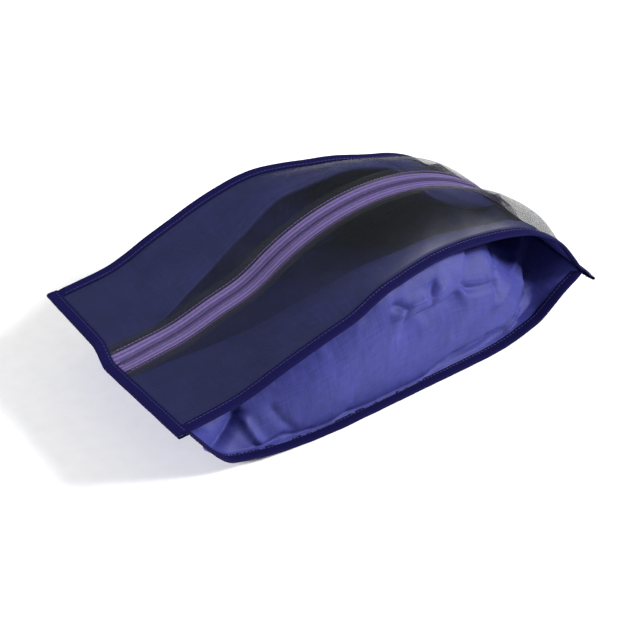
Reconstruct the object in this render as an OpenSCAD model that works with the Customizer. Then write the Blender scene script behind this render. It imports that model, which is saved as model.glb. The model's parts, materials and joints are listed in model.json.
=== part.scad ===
// Shoe bag: a flat-cut travel bag with two clear film windows, a centre zipper,
// two side gussets that fold inwards, a fabric base and bound seams.
// +X runs along the zipper towards its closed end, +Z is up, and the base
// rests on the plane z = 0. All sizes are in millimetres.

/* [Bag] */
// Length over the two end seams
bag_length = 380; // [370:1:390]
// Width of the panels at the end seams
bag_width = 188; // [184:1:196]
// Height of the zipper's highest point
crown_height = 117; // [114:1:120]
// Height of the left end seam
left_seam_height = 62; // [56:1:66]
// How far the left end seam sinks at the zipper
left_seam_dip = 5; // [0:0.5:8]
// Downward tilt of the right end seam
right_seam_tilt = 40; // [30:1:45]
// How far the right end seam's far corner hangs below its near corner
right_seam_drop = 6; // [0:0.5:7]

/* [Zipper] */
// Radius of the zipper line over the contents
zip_radius = 170; // [168:1:174]
// Where the zipper line is highest, along the bag
zip_crest_x = 38; // [34:1:42]
// Angle from the crest to the left end of the round stretch
zip_left_angle = 34.5; // [34:0.5:36]
// Half the width of the closed zipper tape
tape_half_w = 13; // [12:0.5:13.5]
// Half the slit between the two tape edges
tape_slit = 0.5; // [0.45:0.05:0.6]
// Width of one row of coil
coil_w = 2.2; // [2:0.1:2.6]
// Height of the coil above the tape
coil_h = 1.2; // [1:0.1:1.4]
// Where the film's hem edge lies beside the zipper line
film_edge = 10; // [9:0.5:11]

/* [Slider] */
// Place of the slider along the bag when the zipper is closed
slider_x = 167; // [160:1:168]
// Length of the slider body
slider_l = 11; // [10:0.5:12]
// Width of the slider body
slider_w = 8.8; // [8.6:0.1:9.4]
// Length of the pull tab from its pivot
pull_l = 20; // [16:1:21]
// Width of the pull tab
pull_w = 6; // [5.6:0.2:7]

/* [Sheets and bindings] */
// Thickness of the film, the fabric and the tape
sheet_t = 0.5; // [0.4:0.05:0.5]
// Distance between two layers sewn together
layer = 0.65; // [0.65:0.05:0.7]
// Width of the folded binding tape
binding_w = 9; // [8:0.5:10]
// Thickness of the binding tape
binding_t = 0.6; // [0.5:0.1:0.7]
// Length of the loose binding tail at the near right corner
tail_l = 7; // [4:1:9]

/* [Hidden] */

near = -1;
far = 1;
half_w = bag_width / 2;
root_x = bag_length / 2 - binding_w;  // where the panels enter the end bindings
gap = 0.1;                            // clearance between a binding and its layers
long_half_t = layer / 2 + sheet_t / 2 + gap + binding_t;      // binding round two layers
end_half_t = 1.5 * layer + sheet_t / 2 + gap + binding_t;     // binding round four layers

// Outline. Each list holds one value a station; stations are parts of root_x.
station = [-1, -0.79, -0.53, -0.26, 0, 0.26, 0.53, 0.74, 0.9, 1];
// Half widths, as parts of half_w
top_near_y = [1, 1, 1.01, 1.01, 0.93, 0.84, 0.80, 0.83, 0.90, 1];
top_far_y = [1, 1, 1.02, 1.04, 0.97, 0.82, 0.70, 0.78, 0.90, 1];
base_y = [1, 0.99, 1.02, 1.05, 1.05, 1.05, 1.05, 1.04, 1.02, 1];
crease_y = [0.16, 0.21, 0.35, 0.47, 0.56, 0.57, 0.53, 0.34, 0.20, 0.16];
// Heights, as parts of crown_height; the two end values are replaced by the seams'
top_near_z = [0, 0.56, 0.68, 0.79, 0.87, 0.86, 0.80, 0.73, 0.58, 0];
top_far_z = [0, 0.56, 0.68, 0.80, 0.89, 0.88, 0.80, 0.62, 0.42, 0];
base_z = [0, 0.10, 0.02, 0, 0, 0, 0.02, 0.09, 0.25, 0];
crease_z = [0, 0.50, 0.59, 0.735, 0.86, 0.86, 0.76, 0.45, 0.34, 0];
// How far each film bows up between the zipper and its edge seam, in mm
near_bow = [0, 0, 2, 4, 6, 7, 8, 10, 9, 0];
far_bow = [0, 0, 2, 4, 6, 7, 7, 6, 4, 0];
// How full the gusset's lower half is: 0 is flat, 1 is round
fullness = [0, 0.15, 0.55, 0.9, 1, 1, 0.85, 0.35, 0.1, 0];
// Zipper line left of its round stretch: [part of root_x, part of crown_height]
zip_left = [[-0.79, 0.53], [-0.53, 0.625], [-0.41, 0.675]];

// ---- Smooth curves -------------------------------------------------------
function lerp(a, b, t) = a + (b - a) * t;
function unit(v) = v / norm(v);
function smooth(t) = let (c = min(1, max(0, t))) c * c * (3 - 2 * c);
function secant(k, i) = (k[i + 1][1] - k[i][1]) / (k[i + 1][0] - k[i][0]);
function tangent(k, i) =
    i == 0 ? secant(k, 0) :
    i == len(k) - 1 ? secant(k, i - 1) :
    let (a = secant(k, i - 1), b = secant(k, i)) a * b <= 0 ? 0 : 2 * a * b / (a + b);
// A smooth curve through the points k, which never overshoots them
function curve(k, x) =
    let (
        i = [for (j = [0 : len(k) - 2]) if (x <= k[j + 1][0] || j == len(k) - 2) j][0],
        h = k[i + 1][0] - k[i][0],
        t = (x - k[i][0]) / h,
        m0 = tangent(k, i) * h,
        m1 = tangent(k, i + 1) * h
    )
    (1 + 2 * t) * (1 - t) * (1 - t) * k[i][1] + t * (1 - t) * (1 - t) * m0
    + t * t * (3 - 2 * t) * k[i + 1][1] - t * t * (1 - t) * m1;
function knots(values) = [for (i = [0 : len(station) - 1]) [station[i], values[i]]];
function at(values, x) = curve(knots(values), x / root_x);

// ---- End seams -----------------------------------------------------------
// k counts layers up from the seam's middle, s is the distance into the binding
zip_centre_z = crown_height - zip_radius;
right_zip_angle = asin((root_x - zip_crest_x) / zip_radius);
right_normal = [sin(right_seam_tilt), 0, cos(right_seam_tilt)];
right_root = [root_x, 0, zip_centre_z + zip_radius * cos(right_zip_angle)] - 0.5 * layer * right_normal;
left_root = [-root_x, 0, left_seam_height];
function seam_normal(end) = end < 0 ? [0, 0, 1] : right_normal;
function seam_point(end, s, k) =
    end < 0 ? left_root + [-s, 0, k * layer]
            : right_root + s * [cos(right_seam_tilt), 0, -sin(right_seam_tilt)] + k * layer * right_normal;
// Heights with the seam's own height at both ends
function height(values, x, k) =
    let (
        zs = [for (v = values) v * crown_height],
        ends = concat([[-1, seam_point(-1, 0, k)[2]]],
                      [for (i = [1 : len(zs) - 2]) [station[i], zs[i]]],
                      [[1, seam_point(1, 0, k)[2]]])
    )
    curve(ends, x / root_x);

// ---- Places along the bag ------------------------------------------------
left_steps = 13;
arc_steps = 26;
arc_left_x = zip_crest_x - zip_radius * sin(zip_left_angle);
first_x = -root_x + 5;
last_angle = right_zip_angle - 2.6;
xs = concat(
    [for (i = [0 : left_steps - 1]) lerp(first_x, arc_left_x, i / left_steps)],
    [for (i = [0 : arc_steps])
        zip_crest_x + zip_radius * sin(lerp(-zip_left_angle, last_angle, i / arc_steps))]
);
n = len(xs) + 4;
panel_in = binding_w - binding_t - gap - 0.5;  // how deep a panel goes into a binding
function end_of(i) = i < 2 ? -1 : i > n - 3 ? 1 : 0;
function depth(i) = (i == 0 || i == n - 1) ? panel_in : 0.2;

// ---- Lines that the panels meet on ---------------------------------------
zip_knots = concat(
    [[-1, seam_point(-1, 0, 0.5)[2] / crown_height]],
    zip_left,
    [for (a = [-zip_left_angle, 3 - zip_left_angle])
        [(zip_crest_x + zip_radius * sin(a)) / root_x, (zip_centre_z + zip_radius * cos(a)) / crown_height]]
);
function zip_z(x) =
    x < arc_left_x ? crown_height * curve(zip_knots, x / root_x)
                   : zip_centre_z + sqrt(zip_radius * zip_radius - pow(x - zip_crest_x, 2));
// Every line is a function of the station i, drawn in the plane y = 0
function zip_line(i) = end_of(i) != 0 ? seam_point(end_of(i), depth(i), 0.5) : [xs[i - 2], 0, zip_z(xs[i - 2])];
function rail(i, values, k) =
    end_of(i) != 0 ? seam_point(end_of(i), depth(i), k)
                   : [xs[i - 2], 0, max(long_half_t, height(values, xs[i - 2], k))];
function line_x(i) = end_of(i) != 0 ? end_of(i) * root_x : xs[i - 2];
zip_pts = [for (i = [0 : n - 1]) zip_line(i)];
top_near_pts = [for (i = [0 : n - 1]) rail(i, top_near_z, 1)];
top_far_pts = [for (i = [0 : n - 1]) rail(i, top_far_z, 1)];
base_pts = [for (i = [0 : n - 1]) rail(i, base_z, -1)];
crease_pts = [for (i = [0 : n - 1]) rail(i, crease_z, 0)];
function normals(pts) = [for (i = [0 : n - 1])
    end_of(i) != 0 ? seam_normal(end_of(i)) :
    let (d = unit(pts[i + 1] - pts[i - 1])) [-d[2], 0, d[0]]];
zip_n = normals(zip_pts);
top_near_n = normals(top_near_pts);
top_far_n = normals(top_far_pts);
base_n = normals(base_pts);
crease_n = normals(crease_pts);

// The left end seam sinks a little towards the zipper, and the right one's far corner hangs
function dip(p) =
    let (
        left = (1 - smooth((p[0] + root_x) / 50)) * max(0, 1 - abs(p[1]) / half_w),
        right = smooth((p[0] - root_x + 60) / 60) * max(0, p[1] / half_w)
    )
    [p[0], p[1], p[2] - left_seam_dip * left - right_seam_drop * right];

// ---- Solids from points --------------------------------------------------
// A sheet: a grid of points on its middle, made sheet_t thick
module sheet(grid, t = sheet_t) {
    rows = len(grid);
    cols = len(grid[0]);
    warped = [for (row = grid) [for (p = row) dip(p)]];
    normal = [for (i = [0 : rows - 1]) [for (j = [0 : cols - 1])
        unit(cross(warped[min(i + 1, rows - 1)][j] - warped[max(i - 1, 0)][j],
                   warped[i][min(j + 1, cols - 1)] - warped[i][max(j - 1, 0)]))]];
    points = [for (side = [1, -1]) for (i = [0 : rows - 1]) for (j = [0 : cols - 1])
        warped[i][j] + side * normal[i][j] * t / 2];
    back = rows * cols;
    faces = concat(
        [for (i = [0 : rows - 2]) for (j = [0 : cols - 2])
            let (a = i * cols + j, b = a + cols, c = b + 1, d = a + 1)
            each [[a, d, c], [a, c, b], [back + a, back + b, back + c], [back + a, back + c, back + d]]],
        [for (i = [0 : rows - 2])
            let (a = i * cols, b = a + cols, d = a + cols - 1, c = d + cols)
            each [[a, b, back + b], [a, back + b, back + a], [c, d, back + d], [c, back + d, back + c]]],
        [for (j = [0 : cols - 2])
            let (a = j, d = j + 1, b = (rows - 1) * cols + j, c = b + 1)
            each [[d, a, back + a], [d, back + a, back + d], [b, c, back + c], [b, back + c, back + b]]]
    );
    polyhedron(points = points, faces = faces, convexity = 10);
}

// A tape: rings of an outer path followed by its inner path in reverse
module tape_sweep(rings) {
    rows = len(rings);
    m = len(rings[0]);
    half = m / 2;
    points = [for (ring = rings) for (p = ring) dip(p)];
    last = (rows - 1) * m;
    faces = concat(
        [for (i = [0 : rows - 2]) for (j = [0 : m - 1])
            let (a = i * m + j, b = a + m, d = i * m + (j + 1) % m, c = d + m)
            each [[a, b, c], [a, c, d]]],
        [for (j = [0 : half - 2]) each [[j, j + 1, m - 2 - j], [j, m - 2 - j, m - 1 - j]]],
        [for (j = [0 : half - 2]) each [[last + m - 2 - j, last + j + 1, last + j],
                                        [last + m - 1 - j, last + m - 2 - j, last + j]]]
    );
    polyhedron(points = points, faces = faces, convexity = 10);
}

// ---- Panels --------------------------------------------------------------
film_cols = 9;
function film_row(i, side, pts, nrm, ys) =
    let (
        x = line_x(i),
        y_tip = side * (half_w * at(ys, x)),
        start = zip_pts[i] + layer * zip_n[i] + [0, side * film_edge, 0],
        root = pts[i] + layer / 2 * nrm[i] + [0, y_tip - side * (binding_w + 0.6), 0],
        tip = pts[i] + layer / 2 * nrm[i] + [0, y_tip - side * (binding_w - panel_in), 0],
        bow = end_of(i) != 0 ? 0 : at(side < 0 ? near_bow : far_bow, x),
        inner = [for (j = [0 : film_cols])
            let (t = j / film_cols) lerp(start, root, t) + 4 * t * (1 - t) * bow * zip_n[i]]
    )
    concat(inner, [tip]);
module window(side, pts, nrm, ys) {
    rows = [for (i = [0 : n - 1]) film_row(i, side, pts, nrm, ys)];
    sheet(rows);
}

fold_r = layer / 2;
upper_cols = 4;
lower_cols = 9;
function bezier(a, b, c, d, t) =
    pow(1 - t, 3) * a + 3 * t * pow(1 - t, 2) * b + 3 * t * t * (1 - t) * c + pow(t, 3) * d;
function gusset_row(i, side, pts, nrm, ys) =
    let (
        x = line_x(i),
        out = [0, side, 0],
        top = pts[i] - layer / 2 * nrm[i],
        top_y = half_w * at(ys, x),
        base = base_pts[i] + layer / 2 * base_n[i],
        edge_y = half_w * at(base_y, x),
        tip_up = top + out * (top_y - binding_w + panel_in),
        root_up = top + out * (top_y - binding_w - 0.6),
        crease = crease_pts[i] + out * half_w * at(crease_y, x),
        fold = crease_n[i] * fold_r,
        root_down = base + out * (edge_y - binding_w - 0.6),
        tip_down = base + out * (edge_y - binding_w + panel_in),
        f = end_of(i) != 0 ? 0 : at(fullness, x),
        low = crease - fold,
        span = root_down - low,
        full_1 = low + [0, 0.95 * span[1], -2],
        full_2 = root_down + out * 6 + [0, 0, -0.6 * span[2]],
        c1 = lerp(low + span / 3, full_1, f),
        c2 = lerp(low + span * 2 / 3, full_2, f)
    )
    concat(
        [tip_up],
        [for (j = [0 : upper_cols]) lerp(root_up, crease + fold, j / upper_cols)],
        [crease - out * fold_r],
        [for (j = [0 : lower_cols]) bezier(low, c1, c2, root_down, j / lower_cols)],
        [tip_down]
    );
module gusset(side, pts, nrm, ys) {
    sheet([for (i = [0 : n - 1]) gusset_row(i, side, pts, nrm, ys)]);
}

base_cols = 6;
function base_row(i) =
    let (
        x = line_x(i),
        y = half_w * at(base_y, x),
        mid = base_pts[i] - layer / 2 * base_n[i],
        sag = (long_half_t - layer / 2 - sheet_t / 2) * smooth((root_x - abs(x)) / 30),
        inner_y = y - binding_w - 3
    )
    concat(
        [mid - [0, y - binding_w + panel_in, 0]],
        [mid - [0, y - binding_w - 0.6, 0]],
        [for (j = [0 : base_cols]) mid + [0, lerp(-inner_y, inner_y, j / base_cols), -sag]],
        [mid + [0, y - binding_w - 0.6, 0]],
        [mid + [0, y - binding_w + panel_in, 0]]
    );
module bottom_panel() {
    color("darkslateblue") sheet([for (i = [0 : n - 1]) base_row(i)]);
}
module window_near() {
    color("lightsteelblue", 0.5) window(near, top_near_pts, top_near_n, top_near_y);
}
module window_far() {
    color("lightsteelblue", 0.5) window(far, top_far_pts, top_far_n, top_far_y);
}
module gusset_near() {
    color("slateblue") gusset(near, top_near_pts, top_near_n, top_near_y);
}
module gusset_far() {
    color("slateblue") gusset(far, top_far_pts, top_far_n, top_far_y);
}

// ---- Zipper --------------------------------------------------------------
module zipper_tape(side) {
    sheet([for (i = [0 : n - 1]) [for (y = [tape_slit, tape_half_w]) zip_pts[i] + [0, side * y, 0]]]);
}
module zipper_tape_near() {
    color("mediumpurple") zipper_tape(near);
}
module zipper_tape_far() {
    color("mediumpurple") zipper_tape(far);
}
coil_low = sheet_t / 2 + 0.05;
module zipper_coil(side) {
    low = coil_low;
    high = coil_low + coil_h;
    inner_y = tape_slit;
    outer_y = tape_slit + coil_w;
    section = side > 0 ? [[inner_y, low], [outer_y, low], [outer_y - 0.5, high], [inner_y + 0.3, high]]
                       : [[-outer_y, low], [-inner_y, low], [-inner_y - 0.3, high], [-outer_y + 0.5, high]];
    tape_sweep([for (i = [2 : n - 3]) [for (q = section) zip_pts[i] + [0, q[0], 0] + q[1] * zip_n[i]]]);
}
module zipper_coil_near() {
    color("rebeccapurple") zipper_coil(near);
}
module zipper_coil_far() {
    color("rebeccapurple") zipper_coil(far);
}

// ---- Slider, in its own frame: x along the zipper, z out of the bag --------
slider_angle = asin((slider_x - zip_crest_x) / zip_radius);
plate_t = 0.9;
top_plate_z = coil_low + coil_h + 0.4;
bottom_plate_z = -sheet_t / 2 - 0.4 - plate_t;
flange_y = tape_slit + coil_w + 0.5;
flange_low = sheet_t / 2 + 0.4;
post_t = 0.5;
bridge_w = 1.6;
pivot_r = 0.6;
pivot_z = top_plate_z + plate_t + pivot_r + 0.4;
pull_t = 0.9;
module on_zipper() {
    translate([zip_crest_x, 0, zip_centre_z]) rotate([0, slider_angle, 0]) translate([0, 0, zip_radius]) children();
}
// A plate with rounded corners that tapers towards the open side
module slider_plate(z) {
    translate([0, 0, z]) linear_extrude(plate_t) difference() {
        square([slider_l, slider_w], center = true);
        for (m = [-1, 1]) translate([-slider_l / 2, m * slider_w / 2, 0]) rotate(45) square(2, center = true);
        for (m = [-1, 1]) translate([slider_l / 2, m * slider_w / 2, 0]) rotate(45) square(1.2, center = true);
    }
}
module slider_body() {
    color("rebeccapurple") on_zipper() {
        difference() {
            union() {
                slider_plate(top_plate_z);
                slider_plate(bottom_plate_z);
                for (m = [-1, 1]) translate([-slider_l / 2 + 1.6, m * (flange_y + 0.4) - 0.4, flange_low])
                    cube([slider_l - 2.8, 0.8, top_plate_z - flange_low + 0.1]);
                translate([slider_l / 2 - 2.4, -post_t / 2, bottom_plate_z + 0.1])
                    cube([1.6, post_t, top_plate_z - bottom_plate_z]);
                translate([-4, -bridge_w / 2, top_plate_z + plate_t - 0.1])
                    cube([8, bridge_w, 2 * pivot_r + 1.6]);
            }
            // The bridge's eye, which the pull tab's bar goes through
            translate([-2.6, -bridge_w, top_plate_z + plate_t]) cube([5.2, 2 * bridge_w, 2 * pivot_r + 0.7]);
        }
    }
}
module pull_tab() {
    color("rebeccapurple") on_zipper() translate([0, 0, pivot_z]) {
        rotate([90, 0, 0]) cylinder(r = pivot_r, h = pull_w, center = true, $fn = 32);
        difference() {
            translate([0, -pull_w / 2, -pull_t / 2]) cube([pull_l - pull_w / 2, pull_w, pull_t]);
            translate([-1, -pull_w / 2 + 1.4, -pull_t]) cube([7, pull_w - 2.8, 2 * pull_t]);
        }
        difference() {
            translate([pull_l - pull_w / 2, 0, -pull_t / 2]) cylinder(d = pull_w, h = pull_t, $fn = 48);
            translate([pull_l - pull_w / 2, 0, -pull_t]) cylinder(d = pull_w / 3, h = 2 * pull_t, $fn = 32);
        }
    }
}

// ---- Bindings ------------------------------------------------------------
// Section of a folded tape: depth from its mouth, and height from its middle
function fold_section(half_t) =
    let (in_half = half_t - binding_t, w = binding_w)
    [[0, half_t], [w - 0.8, half_t], [w, 0.5 * half_t], [w, -0.5 * half_t], [w - 0.8, -half_t], [0, -half_t],
     [0, -in_half], [w - binding_t - 0.3, -in_half], [w - binding_t, -0.5 * in_half],
     [w - binding_t, 0.5 * in_half], [w - binding_t - 0.3, in_half], [0, in_half]];
function turned(section, side) =
    side > 0 ? [for (j = [5 : -1 : -6]) section[(j + 12) % 12]] : section;
module binding_long(side, pts, nrm, ys) {
    section = turned(fold_section(long_half_t), side);
    rings = [for (i = [2 : n - 3])
        let (mouth_y = side * (half_w * at(ys, line_x(i)) - binding_w))
        [for (q = section) pts[i] + [0, mouth_y + side * q[0], 0] + q[1] * nrm[i]]];
    tape_sweep(rings);
}
module binding_top_near() {
    color("midnightblue") binding_long(near, top_near_pts, top_near_n, top_near_y);
}
module binding_top_far() {
    color("midnightblue") binding_long(far, top_far_pts, top_far_n, top_far_y);
}
module binding_bottom_near() {
    color("midnightblue") binding_long(near, base_pts, base_n, base_y);
}
module binding_bottom_far() {
    color("midnightblue") binding_long(far, base_pts, base_n, base_y);
}
end_steps = 16;
end_mouth = 0.5;  // the panels lie flat before they go in
module binding_end(end, y0, y1) {
    section = fold_section(end_half_t);
    turned_section = turned(section, -end);
    rings = [for (j = [0 : end_steps])
        let (y = lerp(y0, y1, j / end_steps))
        [for (q = turned_section) seam_point(end, max(end_mouth, q[0]), q[1] / layer) + [0, y, 0]]];
    tape_sweep(rings);
}
module binding_end_left() {
    color("midnightblue") binding_end(-1, -half_w, half_w);
}
module binding_end_right() {
    color("midnightblue") binding_end(1, -half_w - tail_l, half_w);
}

bottom_panel();
gusset_near();
gusset_far();
window_near();
window_far();
zipper_tape_near();
zipper_tape_far();
zipper_coil_near();
zipper_coil_far();
slider_body();
pull_tab();
binding_top_near();
binding_top_far();
binding_bottom_near();
binding_bottom_far();
binding_end_left();
binding_end_right();
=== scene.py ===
"""The looks of a travel shoe bag: two clear film windows, a coil zipper, folded side
gussets, a fabric base and bound seams. Lengths are in millimetres until a mesh is made.

Every panel is a grid of points: rows run along the bag (x), columns run across it.
"""

import json
import math

import bpy
import numpy as np
from mathutils import Matrix, Vector, noise


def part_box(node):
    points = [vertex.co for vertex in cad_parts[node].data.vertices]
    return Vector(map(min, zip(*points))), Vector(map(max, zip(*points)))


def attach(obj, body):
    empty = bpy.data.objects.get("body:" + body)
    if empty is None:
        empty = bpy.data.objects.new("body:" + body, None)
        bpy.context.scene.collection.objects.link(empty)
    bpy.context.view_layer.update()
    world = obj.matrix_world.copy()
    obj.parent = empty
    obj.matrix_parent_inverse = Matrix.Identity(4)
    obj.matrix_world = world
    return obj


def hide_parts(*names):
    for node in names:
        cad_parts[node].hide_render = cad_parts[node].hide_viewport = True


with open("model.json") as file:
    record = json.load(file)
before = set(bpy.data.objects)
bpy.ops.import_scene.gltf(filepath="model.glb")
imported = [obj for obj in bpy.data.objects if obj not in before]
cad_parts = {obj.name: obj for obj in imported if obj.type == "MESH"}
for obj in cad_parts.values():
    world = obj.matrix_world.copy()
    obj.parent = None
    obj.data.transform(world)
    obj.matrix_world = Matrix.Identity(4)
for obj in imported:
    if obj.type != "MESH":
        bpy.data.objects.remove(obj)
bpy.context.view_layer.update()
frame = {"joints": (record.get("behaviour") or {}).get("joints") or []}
MM = 0.001
NEAR, FAR = -1, 1
WORD = {NEAR: "near", FAR: "far"}


# ---- Sizes, read from the frame ---------------------------------------------
def box_mm(node):
    return [np.array(corner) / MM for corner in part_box(node)]


def joint_mm(name):
    joint = next(j for j in frame["joints"] if j["name"] == name)
    return np.array(joint["pos_m"]) / MM


SHEET_T = 0.5  # film, fabric and tape in the CAD model
CLOTH_T, FILM_T, TAPE_T = 0.42, 0.3, 0.45  # the thicknesses that show
LAYER = 0.65  # from one sewn layer to the next
PLAY = 0.1  # between the outer layers and their binding
BINDING_W = 9.0
BINDING_T = 0.6
TIP_GAP = 0.6  # from a binding's fold to the edges of the panels in it
ROOT_GAP = 0.6  # from a long binding's mouth to where the panels bend away
LONG_HALF_T = LAYER / 2 + SHEET_T / 2 + PLAY + BINDING_T
END_HALF_T = 1.5 * LAYER + SHEET_T / 2 + PLAY + BINDING_T
PANEL_IN = BINDING_W - BINDING_T - TIP_GAP
END_LO, END_HI = box_mm("binding_end_left")
HALF_W = END_HI[1]
ROOT_X = -END_LO[0] - BINDING_W
LEFT_Z = END_HI[2] - END_HALF_T
TAIL = -box_mm("binding_end_right")[0][1] - HALF_W
ZIP_X, _, ZIP_Z = joint_mm("slider_travel")
TAPE_LO, TAPE_HI = box_mm("zipper_tape_near")
TAPE_HALF = -TAPE_LO[1]
CROWN = TAPE_HI[2] - SHEET_T / 2
ZIP_R = CROWN - ZIP_Z
LEFT_DIP, LEFT_REACH = 5.0, 3.4  # how far the left end seam steps down and out
LEFT_BLEND, LEFT_STEP = 50, 26  # the step's length along the bag, and its far side's width
RIGHT_DROP, RIGHT_BLEND = 6.0, 60  # how far the right end's far corner hangs, and its length
RIGHT_TILT = math.radians(40)
FILM_EDGE = 10.0  # from the zipper's middle

# The outline's design values, as parts of the root's distance, the half width and the
# crown's height. They are the same ones as in the CAD model.
STATION = np.array([-1, -0.79, -0.53, -0.26, 0, 0.26, 0.53, 0.74, 0.9, 1])
TOP_NEAR_Y = [1, 1, 1.01, 1.01, 0.93, 0.84, 0.80, 0.83, 0.90, 1]
TOP_FAR_Y = [1, 1, 1.02, 1.04, 0.97, 0.82, 0.70, 0.78, 0.90, 1]
BASE_Y = [1, 0.99, 1.02, 1.05, 1.05, 1.05, 1.05, 1.04, 1.02, 1]
CREASE_Y = [0.16, 0.21, 0.35, 0.47, 0.56, 0.57, 0.53, 0.34, 0.20, 0.16]
TOP_NEAR_Z = [0, 0.56, 0.68, 0.79, 0.87, 0.86, 0.80, 0.73, 0.58, 0]
TOP_FAR_Z = [0, 0.56, 0.68, 0.80, 0.89, 0.88, 0.80, 0.62, 0.42, 0]
BASE_Z = [0, 0.10, 0.02, 0, 0, 0, 0.02, 0.09, 0.25, 0]
CREASE_Z = [0, 0.50, 0.59, 0.735, 0.86, 0.86, 0.76, 0.45, 0.34, 0]
FILM_BOW = {NEAR: [0, 0, 2, 4, 6, 7, 8, 10, 9, 0], FAR: [0, 0, 2, 4, 6, 7, 7, 6, 4, 0]}
FULLNESS = [0, 0.15, 0.55, 0.9, 1, 1, 0.85, 0.35, 0.1, 0]
ZIP_LEFT = [(-0.79, 0.53), (-0.53, 0.625), (-0.41, 0.675)]
ZIP_LEFT_ANGLE = math.radians(34.5)  # where the round arc ends
ARC_KNOT = math.radians(3)  # a knot this far into the arc gives the line its direction


# ---- Smooth curves ------------------------------------------------------------
def smooth(t):
    c = np.clip(t, 0, 1)
    return c * c * (3 - 2 * c)


def curve(knots_x, knots_y, x):
    """A smooth curve through the knots, which never overshoots them."""
    kx, ky = np.asarray(knots_x, float), np.asarray(knots_y, float)
    h = np.diff(kx)
    s = np.diff(ky) / h
    m = np.empty_like(ky)
    m[0], m[-1] = s[0], s[-1]
    a, b = s[:-1], s[1:]
    same = a * b > 0
    m[1:-1] = np.where(same, 2 * a * b / np.where(same, a + b, 1), 0)
    i = np.clip(np.searchsorted(kx, x) - 1, 0, len(h) - 1)
    t = (x - kx[i]) / h[i]
    return (
        (1 + 2 * t) * (1 - t) ** 2 * ky[i]
        + t * (1 - t) ** 2 * m[i] * h[i]
        + t * t * (3 - 2 * t) * ky[i + 1]
        - t * t * (1 - t) * m[i + 1] * h[i]
    )


def at(values, x):
    return curve(STATION, values, x / ROOT_X)


# ---- End seams: s is the distance into the binding, k counts layers up -----------
RIGHT_ZIP_ANGLE = math.asin((ROOT_X - ZIP_X) / ZIP_R)
RIGHT_N = np.array([math.sin(RIGHT_TILT), 0, math.cos(RIGHT_TILT)])
RIGHT_ALONG = np.array([math.cos(RIGHT_TILT), 0, -math.sin(RIGHT_TILT)])
RIGHT_ROOT = (
    np.array([ROOT_X, 0, ZIP_Z + ZIP_R * math.cos(RIGHT_ZIP_ANGLE)])
    - 0.5 * LAYER * RIGHT_N
)
LEFT_ROOT = np.array([-ROOT_X, 0, LEFT_Z])
UP = np.array([0, 0, 1.0])


def seam_point(end, s, k):
    s, k = np.asarray(s, float)[..., None], np.asarray(k, float)[..., None]
    if end < 0:
        return LEFT_ROOT + s * np.array([-1, 0, 0]) + k * LAYER * UP
    return RIGHT_ROOT + s * RIGHT_ALONG + k * LAYER * RIGHT_N


# ---- Rows along the bag -----------------------------------------------------------
ROW_STEP = 1.8
LEFT_GAP, RIGHT_GAP = 1.4, 1.2  # from the end seams' roots to the rows between them
SEAM_BLEND = 8  # the length over which panels take up an end seam's direction
INNER_X = np.arange(-ROOT_X + LEFT_GAP, ROOT_X - RIGHT_GAP, ROW_STEP)
SEAM_DEPTHS = np.array([PANEL_IN, 5.2, 2.6, 0.2])  # the rows inside an end binding
SEAM_ROWS = len(SEAM_DEPTHS)
END = np.concatenate([-np.ones(SEAM_ROWS), np.zeros(len(INNER_X)), np.ones(SEAM_ROWS)])
DEPTH = np.concatenate([SEAM_DEPTHS, np.zeros(len(INNER_X)), SEAM_DEPTHS[::-1]])
X = np.concatenate([[-ROOT_X] * SEAM_ROWS, INNER_X, [ROOT_X] * SEAM_ROWS])
ROWS = len(X)
SEAM_SHARE = np.where(END != 0, 1, smooth(1 - (ROOT_X - np.abs(X)) / SEAM_BLEND))


def with_ends(z, k):
    """Points on the plane y = 0: heights z between the ends, the seams' points at them."""
    points = np.stack([X, np.zeros(ROWS), z], -1)
    for end in (-1, 1):
        mask = END == end
        points[mask] = seam_point(end, DEPTH[mask], np.full(mask.sum(), k))
    return points


def rail(values, k):
    ends = [seam_point(e, 0.0, k)[2] for e in (-1, 1)]
    z = curve(STATION, [ends[0], *(v * CROWN for v in values[1:-1]), ends[1]], X / ROOT_X)
    return with_ends(np.maximum(LONG_HALF_T, z), k)


def zip_height(x):
    left_x = ZIP_X - ZIP_R * math.sin(ZIP_LEFT_ANGLE)
    knots = [(-1, seam_point(-1, 0.0, 0.5)[2] / CROWN), *ZIP_LEFT]
    for a in (-ZIP_LEFT_ANGLE, ARC_KNOT - ZIP_LEFT_ANGLE):
        knots.append(
            ((ZIP_X + ZIP_R * math.sin(a)) / ROOT_X, (ZIP_Z + ZIP_R * math.cos(a)) / CROWN)
        )
    left = CROWN * curve(*zip(*knots), x / ROOT_X)
    arc = ZIP_Z + np.sqrt(np.maximum(1, ZIP_R**2 - (x - ZIP_X) ** 2))
    return np.where(x < left_x, left, arc)


def normals_of(points):
    d = np.gradient(points, axis=0)
    n = np.stack([-d[:, 2], np.zeros(ROWS), d[:, 0]], -1)
    n /= np.linalg.norm(n, axis=1)[:, None]
    seam = np.where((X < 0)[:, None], UP, RIGHT_N)
    n = n * (1 - SEAM_SHARE[:, None]) + seam * SEAM_SHARE[:, None]
    return n / np.linalg.norm(n, axis=1)[:, None]


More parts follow.
